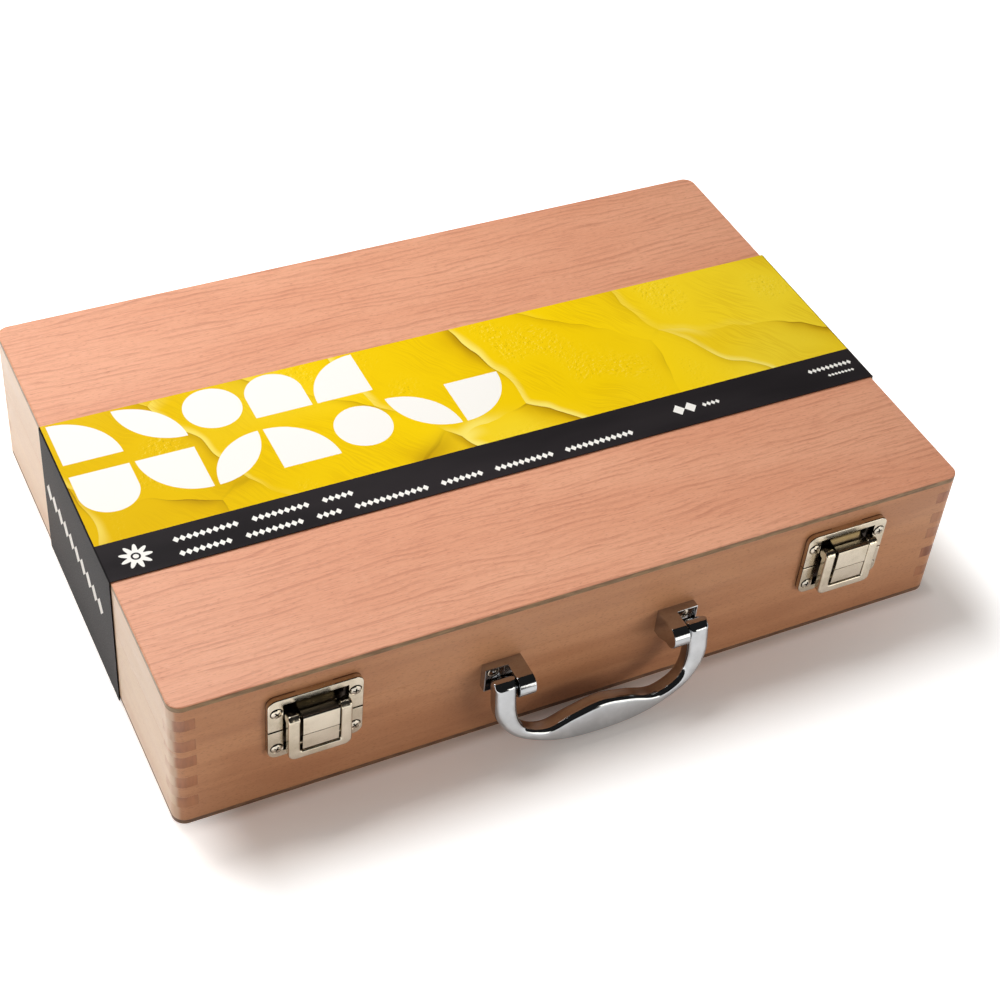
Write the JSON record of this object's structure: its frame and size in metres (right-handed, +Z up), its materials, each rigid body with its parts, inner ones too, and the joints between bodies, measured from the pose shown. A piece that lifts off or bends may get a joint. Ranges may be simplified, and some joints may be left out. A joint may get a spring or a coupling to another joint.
{
  "type": "paint box",
  "caption": "Flat wooden paint box with finger-jointed corners, hinged lid, draw latches, swinging front handle and a slip-on card sleeve.",
  "frame": {"origin": "middle of the underside of the bottom panel", "axes": "+X to the right along the long side, +Y to the back (the latches and handle face -Y), +Z up"},
  "size_m": [0.3866, 0.287, 0.0763],
  "materials": {
    "plywood": "satin",
    "beech": "satin",
    "divider_wood": "matte",
    "printed_card": "satin",
    "chrome_plate": "polished",
    "nickel_plate": "satin",
    "screw_steel": "polished",
    "hinge_steel": "satin"
  },
  "bodies": {
    "case": {"base_back_wall": "beech", "base_bottom_panel": "plywood", "base_front_wall": "beech", "base_left_wall": "beech", "base_right_wall": "beech", "divider_cross_1": "divider_wood", "divider_cross_2": "divider_wood", "divider_long": "divider_wood", "handle_left_block": "chrome_plate", "handle_left_pin": "chrome_plate", "handle_left_screw": "chrome_plate", "handle_right_block": "chrome_plate", "handle_right_pin": "chrome_plate", "handle_right_screw": "chrome_plate", "hinge_left_lower_leaf": "hinge_steel", "hinge_left_lower_screw_left": "screw_steel", "hinge_left_lower_screw_right": "screw_steel", "hinge_left_pin": "hinge_steel", "hinge_right_lower_leaf": "hinge_steel", "hinge_right_lower_screw_left": "screw_steel", "hinge_right_lower_screw_right": "screw_steel", "hinge_right_pin": "hinge_steel", "latch_left_lever_pin": "nickel_plate", "latch_left_lower_plate": "nickel_plate", "latch_left_lower_screw_left": "screw_steel", "latch_left_lower_screw_right": "screw_steel", "latch_right_lever_pin": "nickel_plate", "latch_right_lower_plate": "nickel_plate", "latch_right_lower_screw_left": "screw_steel", "latch_right_lower_screw_right": "screw_steel"},
    "lid": {"hinge_left_upper_leaf": "hinge_steel", "hinge_left_upper_screw_left": "screw_steel", "hinge_left_upper_screw_right": "screw_steel", "hinge_right_upper_leaf": "hinge_steel", "hinge_right_upper_screw_left": "screw_steel", "hinge_right_upper_screw_right": "screw_steel", "latch_left_upper_plate": "nickel_plate", "latch_left_upper_screw_left": "screw_steel", "latch_left_upper_screw_right": "screw_steel", "latch_right_upper_plate": "nickel_plate", "latch_right_upper_screw_left": "screw_steel", "latch_right_upper_screw_right": "screw_steel", "lid_back_wall": "beech", "lid_front_wall": "beech", "lid_left_wall": "beech", "lid_right_wall": "beech", "lid_top_panel": "plywood"},
    "sleeve": {"card_sleeve": "printed_card"},
    "bail": {"handle_bail": "chrome_plate"},
    "lever_left": {"latch_left_lever": "nickel_plate", "latch_left_link_pin": "nickel_plate"},
    "link_left": {"latch_left_link": "nickel_plate"},
    "lever_right": {"latch_right_lever": "nickel_plate", "latch_right_link_pin": "nickel_plate"},
    "link_right": {"latch_right_link": "nickel_plate"}
  },
  "joints": [
    {"name": "lid_hinge", "type": "hinge", "parent": "case", "child": "lid", "pos_m": [0, 0.1314, 0.0466], "axis": [-1, 0, 0], "range_deg": [0, 100]},
    {"name": "sleeve_slide", "type": "slide", "parent": "lid", "child": "sleeve", "axis": [0, -1, 0], "range_m": [0, 0.22]},
    {"name": "bail_hinge", "type": "hinge", "parent": "case", "child": "bail", "pos_m": [0, -0.141, 0.04], "axis": [-1, 0, 0], "range_deg": [-18, 180]},
    {"name": "lever_left_hinge", "type": "hinge", "parent": "case", "child": "lever_left", "pos_m": [-0.131, -0.1336, 0.0552], "axis": [-1, 0, 0], "range_deg": [0, 120]},
    {"name": "link_left_hinge", "type": "hinge", "parent": "lever_left", "child": "link_left", "pos_m": [-0.131, -0.1356, 0.0406], "axis": [1, 0, 0], "range_deg": [0, 120]},
    {"name": "lever_right_hinge", "type": "hinge", "parent": "case", "child": "lever_right", "pos_m": [0.131, -0.1336, 0.0552], "axis": [-1, 0, 0], "range_deg": [0, 120]},
    {"name": "link_right_hinge", "type": "hinge", "parent": "lever_right", "child": "link_right", "pos_m": [0.131, -0.1356, 0.0406], "axis": [1, 0, 0], "range_deg": [0, 120]}
  ],
  "couplings": [
    {"joint": "link_left_hinge", "follows": "lever_left_hinge", "ratio": 1},
    {"joint": "link_right_hinge", "follows": "lever_right_hinge", "ratio": 1}
  ]
}
